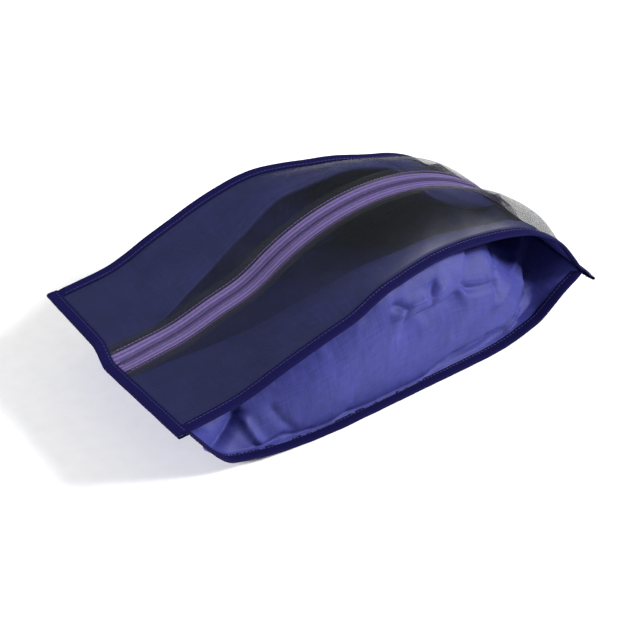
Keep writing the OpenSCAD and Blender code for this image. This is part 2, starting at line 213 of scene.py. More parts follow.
ZIP = with_ends(zip_height(X), 0.5)
TOP = {NEAR: rail(TOP_NEAR_Z, 1), FAR: rail(TOP_FAR_Z, 1)}
TOP_Y = {NEAR: HALF_W * at(TOP_NEAR_Y, X), FAR: HALF_W * at(TOP_FAR_Y, X)}
BASE = rail(BASE_Z, -1)
EDGE_Y = HALF_W * at(BASE_Y, X)
CREASE = rail(CREASE_Z, 0)
CREASE_HALF = HALF_W * at(CREASE_Y, X)
ZIP_N, BASE_N, CREASE_N = normals_of(ZIP), normals_of(BASE), normals_of(CREASE)
TOP_N = {s: normals_of(TOP[s]) for s in (NEAR, FAR)}
Y = np.array([0, 1.0, 0])


def warp(points):
    """The left end seam steps down and out at the zipper, steeply on the far side, and the
    right one's far corner hangs."""
    p = np.array(points, float)
    along = 1 - smooth((p[..., 0] + ROOT_X) / LEFT_BLEND)
    y = p[..., 1]
    far = 1 - smooth(y / LEFT_STEP)
    near = np.clip(1 + y / HALF_W, 0, 1)
    across = np.where(y > 0, far, near)
    p[..., 2] -= LEFT_DIP * along * across
    hang = smooth((p[..., 0] - ROOT_X + RIGHT_BLEND) / RIGHT_BLEND)
    p[..., 2] -= RIGHT_DROP * (hang * np.clip(y / HALF_W, 0, None))
    p[..., 0] -= LEFT_REACH * along * across
    return p


# ---- Meshes from grids ---------------------------------------------------------------
COLLECTION = bpy.data.collections.new("bag_looks")
bpy.context.scene.collection.children.link(COLLECTION)


def new_object(name, verts_mm, faces, coords):
    """coords are cloth coordinates in mm, one a vertex, that the materials' weaves follow."""
    mesh = bpy.data.meshes.new(name)
    mesh.from_pydata((np.asarray(verts_mm) * MM).tolist(), [], faces)
    layer = mesh.attributes.new("cloth", "FLOAT_VECTOR", "POINT")
    flat = np.zeros((len(verts_mm), 3), np.float32)
    flat[:, :2] = coords
    layer.data.foreach_set("vector", flat.ravel())
    mesh.polygons.foreach_set("use_smooth", [True] * len(mesh.polygons))
    mesh.update()
    obj = bpy.data.objects.new(name, mesh)
    COLLECTION.objects.link(obj)
    return obj


def grid_faces(rows, cols, wrap=False):
    n = cols if wrap else cols - 1
    i, j = np.meshgrid(np.arange(rows - 1), np.arange(n), indexing="ij")
    a = i * cols + j
    b = i * cols + (j + 1) % cols
    return np.stack([a, a + cols, b + cols, b], -1).reshape(-1, 4).tolist()

def tube_faces(rows, count):
    """The faces of a tube with count points round it, its two ends capped."""
    ends = [list(range(count))[::-1], [(rows - 1) * count + j for j in range(count)]]
    return grid_faces(rows, count, wrap=True) + ends


def cloth_coords(grid):
    """Distances along the rows' middle and across each row, in mm."""
    mid = grid[:, grid.shape[1] // 2]
    u = np.concatenate([[0], np.cumsum(np.linalg.norm(np.diff(mid, axis=0), axis=1))])
    step = np.linalg.norm(np.diff(grid, axis=1), axis=2)
    v = np.concatenate([np.zeros((len(grid), 1)), np.cumsum(step, axis=1)], axis=1)
    v -= v[:, [grid.shape[1] // 2]]
    return np.stack([np.broadcast_to(u[:, None], v.shape), v], -1).reshape(-1, 2)


def grid_normals(grid):
    du, dv = np.gradient(grid, axis=0), np.gradient(grid, axis=1)
    n = np.cross(du, dv)
    return n / np.maximum(1e-9, np.linalg.norm(n, axis=2))[..., None]


def sheet(name, grid, thickness, coords=None):
    """A closed sheet round the grid, thickness thick."""
    rows, cols = grid.shape[:2]
    n = grid_normals(grid) * thickness / 2
    verts = np.concatenate([(grid + n).reshape(-1, 3), (grid - n).reshape(-1, 3)])
    count = rows * cols
    front = grid_faces(rows, cols)
    faces = front + [[count + q for q in reversed(f)] for f in front]
    rim = (
        [i * cols for i in range(rows)]
        + [(rows - 1) * cols + j for j in range(1, cols)]
        + [i * cols + cols - 1 for i in range(rows - 2, -1, -1)]
        + [j for j in range(cols - 2, 0, -1)]
    )
    faces += [[b, a, count + a, count + b] for a, b in zip(rim, rim[1:] + rim[:1])]
    uv = cloth_coords(grid) if coords is None else coords
    return new_object(name, verts, faces, np.concatenate([uv, uv]))


def lerp(a, b, t):
    return a + (b - a) * t


# ---- Folds in the cloth --------------------------------------------------------------
LEDGE_RATIO = 4  # how much steeper a ledge's right flank is than its left one
STEP_REACH = 30  # how far from its path a step fades away


def to_path(u, v, path):
    """How far each point (u, v) is from a path, its side of it and its share along it."""
    path = np.array(path, float)
    best = np.full(u.shape, 1e9)
    side, share = np.zeros(u.shape), np.zeros(u.shape)
    lengths = np.linalg.norm(np.diff(path, axis=0), axis=1)
    start = np.concatenate([[0], np.cumsum(lengths)])
    for k, (a, b) in enumerate(zip(path[:-1], path[1:])):
        d = (b - a) / lengths[k]
        along = (u - a[0]) * d[0] + (v - a[1]) * d[1]
        c = np.clip(along, 0, lengths[k])
        gap = np.hypot(u - a[0] - c * d[0], v - a[1] - c * d[1])
        nearer = gap < best
        cross = d[0] * (v - a[1]) - d[1] * (u - a[0])
        best = np.where(nearer, gap, best)
        side = np.where(nearer, np.sign(cross), side)
        share = np.where(nearer, (start[k] + c) / start[-1], share)
    return best, side, share


def fold(u, v, kind, height, width, fade, path):
    """How far a fold pushes the cloth inwards. fade holds the shares of the path over which
    it starts and ends."""
    gap, side, share = to_path(u, v, path)
    ends = smooth(share / fade[0]) * smooth((1 - share) / fade[1])
    d = gap / width
    if kind == "crease":  # a sharp top between two equal flanks
        return height * ends * np.clip(1 - d, 0, 1) ** 2
    if kind == "ledge":  # a wide flank on the path's left and a short one on its right
        flank = np.where(side > 0, d, LEDGE_RATIO * d)
        return height * ends * np.clip(1 - flank, 0, 1) ** 1.6
    # A step: the path's left goes inwards, and its right stands out a little
    fall = np.exp(-((gap / STEP_REACH) ** 2))
    return height * ends * (0.5 * np.tanh(side * d) + 0.15) * fall


def crumple(points, size, seed):
    """Smooth noise from -1 to 1 at each point, with bumps about size across."""
    offset = Vector((seed * 13.7, seed * 5.1, seed * 9.3))
    falloff, lacunarity, octaves = 0.7, 2.1, 3
    values = [
        noise.fractal(Vector(p) + offset, falloff, lacunarity, octaves)
        for p in points.reshape(-1, 3) / size
    ]
    return np.array(values).reshape(points.shape[:-1])


# ---- Panels -------------------------------------------------------------------------
FILM_COLS = 30


def film_height(side, y):
    """The film's middle at each row, at the distances y (rows by columns)."""
    start = ZIP + LAYER * ZIP_N + side * FILM_EDGE * Y
    seam = TOP[side] + LAYER / 2 * TOP_N[side]
    root = seam + (side * (TOP_Y[side] - BINDING_W - ROOT_GAP))[:, None] * Y
    t = (y - FILM_EDGE) / (np.abs(root[:, 1]) - FILM_EDGE)[:, None]
    bow = np.where(END == 0, at(FILM_BOW[side], X), 0)[:, None, None]
    t = t[..., None]
    flat = lerp(start[:, None], root[:, None], t)
    return flat + 4 * t * (1 - t) * bow * ZIP_N[:, None]


def film_grid(side):
    root = TOP_Y[side] - BINDING_W - ROOT_GAP
    t = np.linspace(0, 1, FILM_COLS + 1)
    grid = film_height(side, lerp(FILM_EDGE, root[:, None], t))
    seam = TOP[side] + LAYER / 2 * TOP_N[side]
    tip = seam + (side * (TOP_Y[side] - BINDING_W + PANEL_IN))[:, None] * Y
    return np.concatenate([grid, tip[:, None]], axis=1)


UPPER, ROLL, LOWER = 16, 7, 60  # the columns of a gusset's upper half, fold and lower half
GUSSET_LOW = UPPER + 2 + ROLL  # the first column of the lower half
ROLL_R = 2.2  # the fold's radius where the bag is full
FILM_GAP = 1.2  # what the upper half leaves free under the film
ARCH = 0.5  # the share of the room above it that the upper half rises into


def gusset_grid(side):
    """Tip, upper half, the round fold inwards, lower half, tip."""
    out = side * Y
    top = TOP[side] - LAYER / 2 * TOP_N[side]
    base = BASE + LAYER / 2 * BASE_N
    tip_up = top + (TOP_Y[side] - BINDING_W + PANEL_IN)[:, None] * out
    root_up = top + (TOP_Y[side] - BINDING_W - ROOT_GAP)[:, None] * out
    root_down = base + (EDGE_Y - BINDING_W - ROOT_GAP)[:, None] * out
    tip_down = base + (EDGE_Y - BINDING_W + PANEL_IN)[:, None] * out
    full = np.where(END == 0, at(FULLNESS, X), 0)[:, None]
    r = LAYER / 2 + ROLL_R * full
    middle = CREASE + CREASE_HALF[:, None] * out + r * out
    high, low = middle + r * CREASE_N, middle - r * CREASE_N

    t = np.linspace(0, 1, UPPER + 1)[None, :, None]
    upper = lerp(root_up[:, None], high[:, None], t)
    film = film_height(side, np.abs(upper[..., 1]))
    room = np.maximum(0, film[..., 2] - upper[..., 2] - FILM_GAP)
    upper[..., 2] += ARCH * room * np.sin(np.pi * t[..., 0]) ** 0.8

    a = np.radians(np.linspace(90, 270, ROLL + 2)[1:-1])[None, :, None]
    roll = (
        middle[:, None]
        + r[:, None] * np.sin(a) * CREASE_N[:, None]
        + r[:, None] * np.cos(a) * out
    )

    # Where the bag is full, the lower half leaves the fold nearly level, is soon as wide as
    # the base, and comes down on its seam from a little beyond it
    reach, sink, beyond, rise = 0.95, 2, 6, 0.6
    span = root_down - low
    zero = np.zeros(ROWS)
    full_1 = low + np.stack([zero, reach * span[:, 1], zero - sink], -1)
    full_2 = root_down + beyond * out + np.stack([zero, zero, -rise * span[:, 2]], -1)
    c1 = lerp(lerp(low, root_down, 1 / 3), full_1, full)[:, None]
    c2 = lerp(lerp(low, root_down, 2 / 3), full_2, full)[:, None]
    t = np.linspace(0, 1, LOWER + 1)[None, :, None]
    lower = (
        (1 - t) ** 3 * low[:, None]
        + 3 * t * (1 - t) ** 2 * c1
        + 3 * t * t * (1 - t) * c2
        + t**3 * root_down[:, None]
    )
    return np.concatenate([tip_up[:, None], upper, roll, lower, tip_down[:, None]], axis=1)


BASE_COLS = 48
BASE_SAG_L = 30  # the base sinks to the floor over this length
BASE_MARGIN = 3  # and over this width


def base_grid():
    mid = BASE - LAYER / 2 * BASE_N
    sag = (LONG_HALF_T - LAYER / 2 - SHEET_T / 2) * smooth((ROOT_X - np.abs(X)) / BASE_SAG_L)
    edge = EDGE_Y - BINDING_W
    y = np.linspace(-1, 1, BASE_COLS + 1)[None, :] * (edge - BASE_MARGIN)[:, None]
    inner = mid[:, None] + y[..., None] * Y - sag[:, None, None] * UP
    sides = []
    for side in (NEAR, FAR):
        root = mid + (side * (edge - ROOT_GAP))[:, None] * Y
        tip = mid + (side * (edge + PANEL_IN))[:, None] * Y
        # The columns run from the near tip to the far one
        sides.append([tip[:, None], root[:, None]][::-side])
    return np.concatenate([*sides[0], inner, *sides[1]], axis=1)


# ---- Materials ----------------------------------------------------------------------
def srgb(r, g, b):
    """A linear colour from the one seen on screen, each part from 0 to 255."""
    lin = [c / 255 / 12.92 if c <= 10 else ((c / 255 + 0.055) / 1.055) ** 2.4 for c in (r, g, b)]
    return (*lin, 1.0)


class Nodes:
    """Builds one material's nodes."""

    def __init__(self, name, **sockets):
        self.material = bpy.data.materials.new(name)
        self.material.use_nodes = True
        self.tree = self.material.node_tree
        self.tree.nodes.clear()
        out = self.add("OutputMaterial")
        self.shader = self.add("BsdfPrincipled")
        self.link(self.shader.outputs[0], out.inputs["Surface"])
        for key, value in sockets.items():
            self.shader.inputs[key.replace("_", " ")].default_value = value

    def add(self, kind, **props):
        node = self.tree.nodes.new("ShaderNode" + kind)
        for key, value in props.items():
            setattr(node, key, value)
        return node

    def link(self, a, b):
        self.tree.links.new(a, b)

    def math(self, operation, a, b=None):
        node = self.add("Math", operation=operation)
        for socket, value in zip(node.inputs, (a, b)):
            if value is None:
                continue
            if isinstance(value, (int, float)):
                socket.default_value = value
            else:
                self.link(value, socket)
        return node.outputs[0]

    def sum(self, *terms):
        """The sum of some values, each one given with its weight."""
        total = None
        for value, weight in terms:
            part = value if weight == 1 else self.math("MULTIPLY", value, weight)
            total = part if total is None else self.math("ADD", total, part)
        return total

    def cloth(self, scale=(1, 1, 1)):
        """The cloth coordinates in mm, scaled."""
        source = self.add("Attribute", attribute_name="cloth")
        mapping = self.add("Mapping")
        mapping.inputs["Scale"].default_value = scale
        self.link(source.outputs["Vector"], mapping.inputs["Vector"])
        return mapping.outputs[0]

    def place(self):
        return self.add("TexCoord").outputs["Object"]

    def noise(self, vector, scale, detail, roughness):
        node = self.add("TexNoise")
        self.link(vector, node.inputs["Vector"])
        node.inputs["Scale"].default_value = scale
        node.inputs["Detail"].default_value = detail
        node.inputs["Roughness"].default_value = roughness
        return node.outputs["Fac"]

    def threads(self, direction, pitch):
        """Bands pitch mm apart, across the cloth's X or Y."""
        node = self.add("TexWave", wave_type="BANDS", bands_direction=direction)
        self.link(self.cloth(), node.inputs["Vector"])
        node.inputs["Scale"].default_value = 2 * math.pi / (20 * pitch)
        return node.outputs["Fac"]

    def ramp(self, fac, low, high, at_low, at_high):
        node = self.add("ValToRGB")
        for stop, (place, colour) in zip(
            node.color_ramp.elements, ((at_low, low), (at_high, high))
        ):
            stop.position, stop.color = place, colour
        self.link(fac, node.inputs[0])
        return node.outputs[0]

    def bump(self, height, strength, distance_mm):
        node = self.add("Bump")
        node.inputs["Strength"].default_value = strength
        node.inputs["Distance"].default_value = distance_mm * MM
        self.link(height, node.inputs["Height"])
        self.link(node.outputs[0], self.shader.inputs["Normal"])

    def set(self, **links):
        for key, value in links.items():
            self.link(value, self.shader.inputs[key.replace("_", " ")])
        return self.material


def woven(name, dark, light, pitch, roughness):
    """A plain weave with uneven threads, slightly coated."""
    m = Nodes(name, Specular_IOR_Level=0.26)
    warp_way, weft_way = m.threads("X", pitch * 2), m.threads("Y", pitch * 2)
    over = m.math("MULTIPLY", warp_way, weft_way)
    under = m.math(
        "MULTIPLY", m.math("SUBTRACT", 1, warp_way), m.math("SUBTRACT", 1, weft_way)
    )
    weave = m.math("ADD", over, under)
    warp_slub = m.noise(m.cloth((0.04, 0.9, 1)), 1.0, 3.0, 0.6)
    weft_slub = m.noise(m.cloth((0.9, 0.04, 1)), 1.0, 3.0, 0.6)
    slubs = m.math("MULTIPLY", m.math("ADD", warp_slub, weft_slub), 0.5)
    patches = m.math("SUBTRACT", m.noise(m.place(), 26.0, 3.0, 0.55), 0.5)
    tone = m.sum((slubs, 1.2), (weave, 0.3), (patches, 0.5))
    colour = m.ramp(tone, dark, light, 0.36, 1.12)
    rough = m.math("ADD", roughness - 0.12, m.math("MULTIPLY", slubs, 0.24))
    m.bump(m.sum((weave, 1), (slubs, 1.4)), 0.6, 0.18)
    return m.set(Base_Color=colour, Roughness=rough)


def ribbed(name, dark, light, pitch, roughness, gloss, line_pitch=0.0):
    """A narrow tape with ribs across it, and dark woven lines along it if line_pitch isn't 0."""
    m = Nodes(name, Specular_IOR_Level=gloss)
    ribs = m.threads("X", pitch)
    uneven = m.noise(m.cloth((0.9, 0.25, 1)), 1.0, 3.0, 0.6)
    tone = m.sum((ribs, 0.45), (uneven, 0.75))
    if line_pitch:
        lines = m.math("POWER", m.threads("Y", line_pitch), 5)
        tone = m.math("SUBTRACT", tone, m.math("MULTIPLY", lines, 0.6))
    colour = m.ramp(tone, dark, light, 0.25, 0.95)
    rough = m.math("ADD", roughness, m.math("MULTIPLY", uneven, 0.15))
    m.bump(m.sum((ribs, 1), (uneven, 0.5)), 0.6, 0.14)
    return m.set(Base_Color=colour, Roughness=rough)


def plain(name, dark, light, scale, roughness, bump_mm=0.05, **sockets):
    """A moulded, spun or painted surface with a little variation."""
    m = Nodes(name, **sockets)
    grain = m.noise(m.place(), scale, 4.0, 0.6)
    colour = m.ramp(grain, dark, light, 0.3, 0.75)
    rough = m.math("ADD", roughness - 0.06, m.math("MULTIPLY", grain, 0.12))
    m.bump(grain, 0.3, bump_mm)
    return m.set(Base_Color=colour, Roughness=rough)


def clear_film(name, dark, light, alpha, roughness):
    """Soft clear plastic: faint haze, drawing lines along the roll and small ripples."""
    m = Nodes(name, Alpha=alpha, IOR=1.5, Specular_IOR_Level=0.27)
    lines = m.noise(m.cloth((0.02, 0.5, 1)), 1.0, 2.0, 0.5)
    cloud = m.noise(m.place(), 18.0, 3.0, 0.55)
    colour = m.ramp(m.sum((lines, 0.4), (cloud, 0.6)), dark, light, 0.3, 0.7)
    uneven = m.math("ABSOLUTE", m.math("SUBTRACT", cloud, 0.5))
    rough = m.math("ADD", roughness, m.math("MULTIPLY", uneven, 0.5))
    m.bump(m.noise(m.place(), 24.0, 1.0, 0.4), 0.3, 0.1)
    return m.set(Base_Color=colour, Roughness=rough)


FABRIC = woven("navy_fabric", srgb(26, 29, 78), srgb(54, 57, 132), 0.7, 0.6)
BINDING = ribbed("navy_binding", srgb(7, 6, 36), srgb(20, 18, 68), 0.9, 0.7, 0.05)
TAPE = ribbed("purple_tape", srgb(58, 50, 88), srgb(116, 101, 150), 1.1, 0.6, 0.1, 3.4)
COIL = plain("purple_coil", srgb(60, 48, 92), srgb(92, 78, 130), 900.0, 0.3)
THREAD = plain("navy_thread", srgb(24, 21, 68), srgb(44, 40, 104), 2500.0, 0.5)
TAPE_THREAD = plain("purple_thread", srgb(70, 44, 112), srgb(120, 96, 170), 2500.0, 0.5)
ENAMEL = plain(
    "purple_enamel",
    srgb(60, 44, 98),
    srgb(80, 60, 124),
    60.0,
    0.28,
    0.02,
    Coat_Weight=0.6,
    Coat_Roughness=0.15,
)
FILM = clear_film("clear_film", srgb(22, 24, 25), srgb(30, 33, 34), 0.3, 0.35)
HEM = clear_film("film_hem", srgb(60, 63, 66), srgb(74, 77, 78), 0.25, 0.22)


def finish_piece(obj, material, body, slot, *replaced):
    obj.data.materials.clear()
    obj.data.materials.append(material)
    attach(obj, body)
    if replaced:
        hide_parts(*replaced)
    return obj


# ---- The panels' pieces ----------------------------------------------------------------
EVEN = (0.25, 0.25)
# The folds in the lower halves: kind, height, width, fade and path. A path's points give the
# place along the bag and the distance up from the base seam. A height below 0 goes outwards.
FOLDS = {
    NEAR: [
        # The edge where the filled part drops back towards the right end
        ("ledge", 6.7, 26, (0.1, 0.1), [(92, 112), (79, 92), (64, 76)]),
        ("crease", 4.1, 8, (0.2, 0.2), [(64, 76), (76, 72), (92, 67), (110, 60)]),
        ("ledge", 6.1, 24, (0.1, 0.3), [(66, 77), (42, 72), (22, 73), (14, 70), (-6, 58)]),
        ("crease", -4.9, 10, EVEN, [(58, 88), (36, 83), (18, 83), (-6, 76)]),
        ("crease", 3.5, 6, EVEN, [(44, 96), (34, 84), (40, 73)]),
        ("crease", 4.1, 7, EVEN, [(0, 92), (12, 82), (10, 66)]),
        ("crease", 3.5, 6, EVEN, [(132, 86), (110, 74), (100, 60), (98, 48)]),
        ("crease", -3.5, 9, EVEN, [(152, 62), (140, 50), (112, 50), (84, 44)]),
        # The long fold from the right end down to the base seam
        (
            "step",
            12.0,
            2.6,
            (0.05, 0.8),
            [(180, 62), (160, 51), (151, 45), (141, 31), (128, 26), (106, 21)]
            + [(88, 24), (72, 21), (56, 21), (27, 11), (-8, 2)],
        ),
        (
            "crease",
            7.2,
            5,
            (0.1, 0.4),
            [(146, 40), (139, 28), (127, 23), (106, 18), (88, 20), (56, 17), (20, 6)],
        ),
        ("crease", -4.1, 7, EVEN, [(132, 25), (122, 14), (108, 8)]),
        # The left corner
        ("crease", 6.7, 10, (0.12, 0.12), [(-122, 44), (-136, 29), (-153, 14), (-165, 2)]),
        ("crease", -4.3, 8, EVEN, [(-124, 38), (-120, 20), (-113, 5)]),
        ("crease", 2.9, 9, EVEN, [(-104, 44), (-96, 24), (-84, 10)]),
        # Gathers above the base seam
        (
            "crease",
            3.2,
            6,
            (0.15, 0.15),
            [(-126, 13), (-112, 9), (-98, 13), (-86, 9), (-70, 12)],
        ),
        ("crease", 2.9, 6, EVEN, [(-60, 7), (-44, 11), (-26, 6)]),
    ],
    FAR: [
        ("crease", 4.9, 9, EVEN, [(-90, 96), (-70, 76), (-66, 52)]),
        ("crease", -4.6, 10, EVEN, [(-66, 60), (-40, 66), (-10, 60)]),
        ("crease", 4.9, 9, EVEN, [(40, 100), (52, 78), (46, 60)]),
        ("crease", 4.1, 8, EVEN, [(46, 70), (72, 66), (100, 70)]),
        ("crease", 4.1, 8, EVEN, [(-140, 22), (-120, 34), (-104, 30)]),
        ("crease", 3.2, 6, EVEN, [(-100, 13), (-84, 9), (-66, 13), (-50, 9)]),
        (
            "step",
            9.0,
            2.6,
            (0.08, 0.7),
            [(176, 56), (150, 48), (132, 34), (104, 20), (60, 14), (10, 2)],
        ),
    ],
}
WAVES = ((0.9, 34, 3), (0.45, 11, 9), (0.1, 5, 15))  # height, size and seed, finer and finer
END_FADE, BASE_FADE, ROLL_FADE = 12, 7, 12  # folds fade out this far from where cloth is held
BASE_ROOM, BASE_ROOM_UP = 0.9, 6  # folds stay this far above the base, from this height up


def make_gusset(side):
    name = f"gusset_{WORD[side]}"
    grid = gusset_grid(side)
    coords = cloth_coords(grid)
    u = np.broadcast_to(X[:, None], grid.shape[:2])
    low = slice(GUSSET_LOW, GUSSET_LOW + LOWER + 1)
    step = np.linalg.norm(np.diff(grid, axis=1), axis=2)
    up = np.concatenate([np.cumsum(step[:, ::-1], axis=1)[:, ::-1], np.zeros((ROWS, 1))], 1)
    low_u, low_up = u[:, low], up[:, low]
    inwards = grid_normals(grid) * (-side)
    held = smooth((ROOT_X - np.abs(u)) / END_FADE)
    lift = np.zeros(u.shape)
    free = smooth(low_up / BASE_FADE) * smooth((low_up[:, :1] - low_up) / ROLL_FADE)
    lift[:, low] = sum(fold(low_u, low_up, *row) for row in FOLDS[side]) * free
    for height, size, seed in WAVES:
        lift[:, low] += height * crumple(grid[:, low], size, seed + side) * free
    across = np.arange(grid.shape[1])[None, :] / (UPPER + 1)
    upper = (across < 1) * np.sin(np.pi * np.clip(across, 0, 1))
    film = film_height(side, np.maximum(FILM_EDGE, np.abs(grid[..., 1])))
    room = smooth((film[..., 2] - grid[..., 2] - 1) / 4)
    waves = 1.9 * crumple(grid, 30, 21 + side) + 0.5 * crumple(grid, 12, 27 + side)
    lift += upper * room * waves
    grid = grid + inwards * (lift * held)[..., None]
    # Deep folds stay above the base
    least = BASE[:, 2, None] + LAYER / 2 + BASE_ROOM * smooth(low_up / BASE_ROOM_UP)
    inside = (END == 0)[:, None]
    grid[:, low, 2] = np.where(inside, np.maximum(grid[:, low, 2], least), grid[:, low, 2])
    obj = sheet(f"{name}_cloth", warp(grid), CLOTH_T, coords)
    finish_piece(obj, FABRIC, "bag", "fabric", name)


HEM_W, HEM_COLS, HEM_DROP = 8, 6, 0.42


def make_film(side):
    grid = film_grid(side)
    coords = cloth_coords(grid)
    held = smooth((ROOT_X - np.abs(X)) / 20)[:, None]
    t = np.linspace(0, 1, grid.shape[1])[None, :]
    lift = 0.7 * crumple(grid, 46, 31 + side) * held * np.sin(np.pi * t)
    grid = grid + lift[..., None] * ZIP_N[:, None]
    obj = sheet(f"film_{WORD[side]}", warp(grid), FILM_T, coords)
    finish_piece(obj, FILM, "bag", "film", f"window_{WORD[side]}")

    # The film's edge at the zipper is turned under
    y = np.broadcast_to(np.linspace(FILM_EDGE, FILM_EDGE + HEM_W, HEM_COLS), (ROWS, HEM_COLS))
    hem = film_height(side, y) - HEM_DROP * ZIP_N[:, None]
    lip = hem[:, :1] + np.array([0, -side * 0.3, 0.25])
    strip = sheet(f"film_hem_{WORD[side]}", warp(np.concatenate([lip, hem], 1)), FILM_T)
    finish_piece(strip, HEM, "bag", "film")


def make_base():
    grid = base_grid()
    t = np.linspace(-1, 1, grid.shape[1])[None, :]
    held = smooth((ROOT_X - np.abs(X)) / 20)[:, None]
    rise = 0.6 * (1 + crumple(grid, 40, 51)) * held * (1 - t**4)
    obj = sheet("base_cloth", warp(grid + (rise[..., None] * UP)), CLOTH_T, cloth_coords(grid))
    finish_piece(obj, FABRIC, "bag", "fabric", "bottom_panel")


for half in (NEAR, FAR):
    make_gusset(half)
for half in (NEAR, FAR):
    make_film(half)
make_base()


# ---- Bindings: folded tape round the seams' edges ---------------------------------------
STITCH_IN = 1.9  # from a binding's mouth to its stitches
DENT = 0.12  # how deep the stitches pull the tape in


def fold_section(half_t):
    """Depth from the mouth and height from the middle, round the folded tape."""
    turn = BINDING_W - half_t
    a = np.radians(np.linspace(90, -90, 9))
    outer = [(0, half_t * 0.9), (0.5, half_t), (2.0, half_t - DENT), (3.6, half_t), (turn, half_t)]
    outer += [(turn + half_t * math.cos(x) * 0.95, half_t * math.sin(x)) for x in a[1:-1]]
    outer += [(d, -h) for d, h in reversed(outer[:5])]
    ri = half_t - BINDING_T
    inner = [(0, ri * 0.9), (2.0, ri - DENT), (turn, ri)]
    inner += [(turn + ri * math.cos(x), ri * math.sin(x)) for x in a[2:-2:2]]
    inner += [(d, -h) for d, h in reversed(inner[:3])]
    return np.array(outer + inner[::-1])


def sweep(name, rings):
    """A closed tube from rings, each a row of points round the section, with its ends capped."""
    rows, count = rings.shape[:2]
    coords = cloth_coords(np.concatenate([rings, rings[:, :1]], 1)).reshape(rows, count + 1, 2)
    coords = coords[:, :count].reshape(-1, 2)
    return new_object(name, rings.reshape(-1, 3), tube_faces(rows, count), coords)


STITCH, STITCH_GAP = 3.1, 0.5  # between needle holes, and between two stitches
THREAD_R, THREAD_SINK, THREAD_SIDES = 0.24, 0.08, 6
# A stitch's rings: the place along it, the width and the height, in parts of its length and
# of the thread's radius
STITCH_RINGS = [
    (-0.5, 0.15, -1.0),
    (-0.4, 0.75, -0.2),
    (-0.2, 1.0, 0.25),
    (0.2, 1.0, 0.25),
    (0.4, 0.75, -0.2),
    (0.5, 0.15, -1.0),
]


def stitches(name, line, up, material):
    """A row of lockstitches along a line of points, lying on the side that up points to."""
    line = np.asarray(line, float)
    length = np.concatenate([[0], np.cumsum(np.linalg.norm(np.diff(line, axis=0), axis=1))])
    count = int(length[-1] / STITCH)
    verts, faces, coords = [], [], []
    a = np.linspace(0, 2 * np.pi, THREAD_SIDES + 1)[:-1]
    for k in range(count):
        middle = (k + 0.5) * length[-1] / count
        here = np.array([np.interp(middle, length, line[:, c]) for c in range(3)])
        ahead = np.array([np.interp(middle + 0.5, length, line[:, c]) for c in range(3)])
        normal = np.array([np.interp(middle, length, up[:, c]) for c in range(3)])
        d = ahead - here
        d /= np.linalg.norm(d)
        normal -= d * (normal @ d)
        normal /= np.linalg.norm(normal)
        across = np.cross(d, normal)
        base = len(verts)
        for share, wide, lift in STITCH_RINGS:
            centre = here + d * share * (STITCH - STITCH_GAP)
            centre = centre + normal * (lift * THREAD_R - THREAD_SINK)
            for x in a:
                spoke = math.cos(x) * across + math.sin(x) * normal
                verts.append(centre + THREAD_R * wide * spoke)
                coords.append((middle + share * STITCH, x))
        # The caps are wound the other way round than tube_faces has them
        rings, n = len(STITCH_RINGS), THREAD_SIDES
        faces += [[base + q for q in face] for face in grid_faces(rings, n, wrap=True)]
        faces.append([base + j for j in range(n)])
        faces.append([base + (rings - 1) * n + j for j in reversed(range(n))])
    obj = new_object(name, verts, faces, np.array(coords))
    finish_piece(obj, material, "bag", "binding")


def make_long_binding(level, side, points, normals, edge_y, seed):
    name = f"{level}_{WORD[side]}"
    section = fold_section(LONG_HALF_T)
    mask = DEPTH < 3  # it runs this far into the end bindings
    p, n, y, x = points[mask], normals[mask], edge_y[mask], X[mask]
    # The tape's ends are pressed flat inside the end bindings
    press = 1 - 0.42 * smooth(1 - (ROOT_X - np.abs(x)) / 5)
    wave = 0.25 * np.array([noise.noise(Vector((v / 14, seed, 0))) for v in x])
    mouth = side * (y - BINDING_W + wave)
    pucker = 1 + 0.05 * np.array([noise.noise(Vector((v / 4, seed, 5))) for v in x])
    rings = (
        p[:, None]
        + (mouth[:, None] + side * section[None, :, 0])[..., None] * Y
        + (section[None, :, 1] * (press * pucker)[:, None])[..., None] * n[:, None]
    )
    if side > 0:
        rings = rings[:, ::-1]
    obj = sweep(f"tape_{name}", warp(rings))
    finish_piece(obj, BINDING, "bag", "binding", f"binding_{name}")
    row = slice(3, -3)
    for turn, word in ((1, "upper"), (-1, "under")):
        line = p + (mouth + side * STITCH_IN)[:, None] * Y
        line = line + turn * (LONG_HALF_T - DENT) * press[:, None] * n
        stitches(f"tape_{name}_thread_{word}", warp(line)[row], turn * n[row], THREAD)


def make_end_binding(end, place, y_near):
    name = f"end_{place}"
    section = fold_section(END_HALF_T)
    y = np.linspace(y_near, HALF_W, 96)
    wave = 0.25 * np.array([noise.noise(Vector((v / 14, 20 + end, 0))) for v in y])
    pucker = 1 + 0.04 * np.array([noise.noise(Vector((v / 4, 20 + end, 5))) for v in y])
    s = section[None, :, 0] + wave[:, None]
    # Past the near corner only the folded tape is left, so it closes up
    tail = 1 - 0.35 * smooth((-HALF_W - y) / 3)
    k = section[None, :, 1] * (pucker * tail)[:, None] / LAYER
    rings = seam_point(end, s, k) + y[:, None, None] * Y
    if end > 0:
        rings = rings[:, ::-1]
    obj = sweep(f"tape_{name}", warp(rings))
    finish_piece(obj, BINDING, "bag", "binding", f"binding_{name}")
    up = np.tile(UP if end < 0 else RIGHT_N, (len(y), 1))
    row = slice(1, -1)
    for turn, word in ((1, "upper"), (-1, "under")):
        level = turn * (END_HALF_T - DENT) / LAYER * np.ones(len(y))
        line = seam_point(end, np.full(len(y), STITCH_IN) + wave, level) + y[:, None] * Y
        stitches(f"tape_{name}_thread_{word}", warp(line)[row], turn * up[row], THREAD)


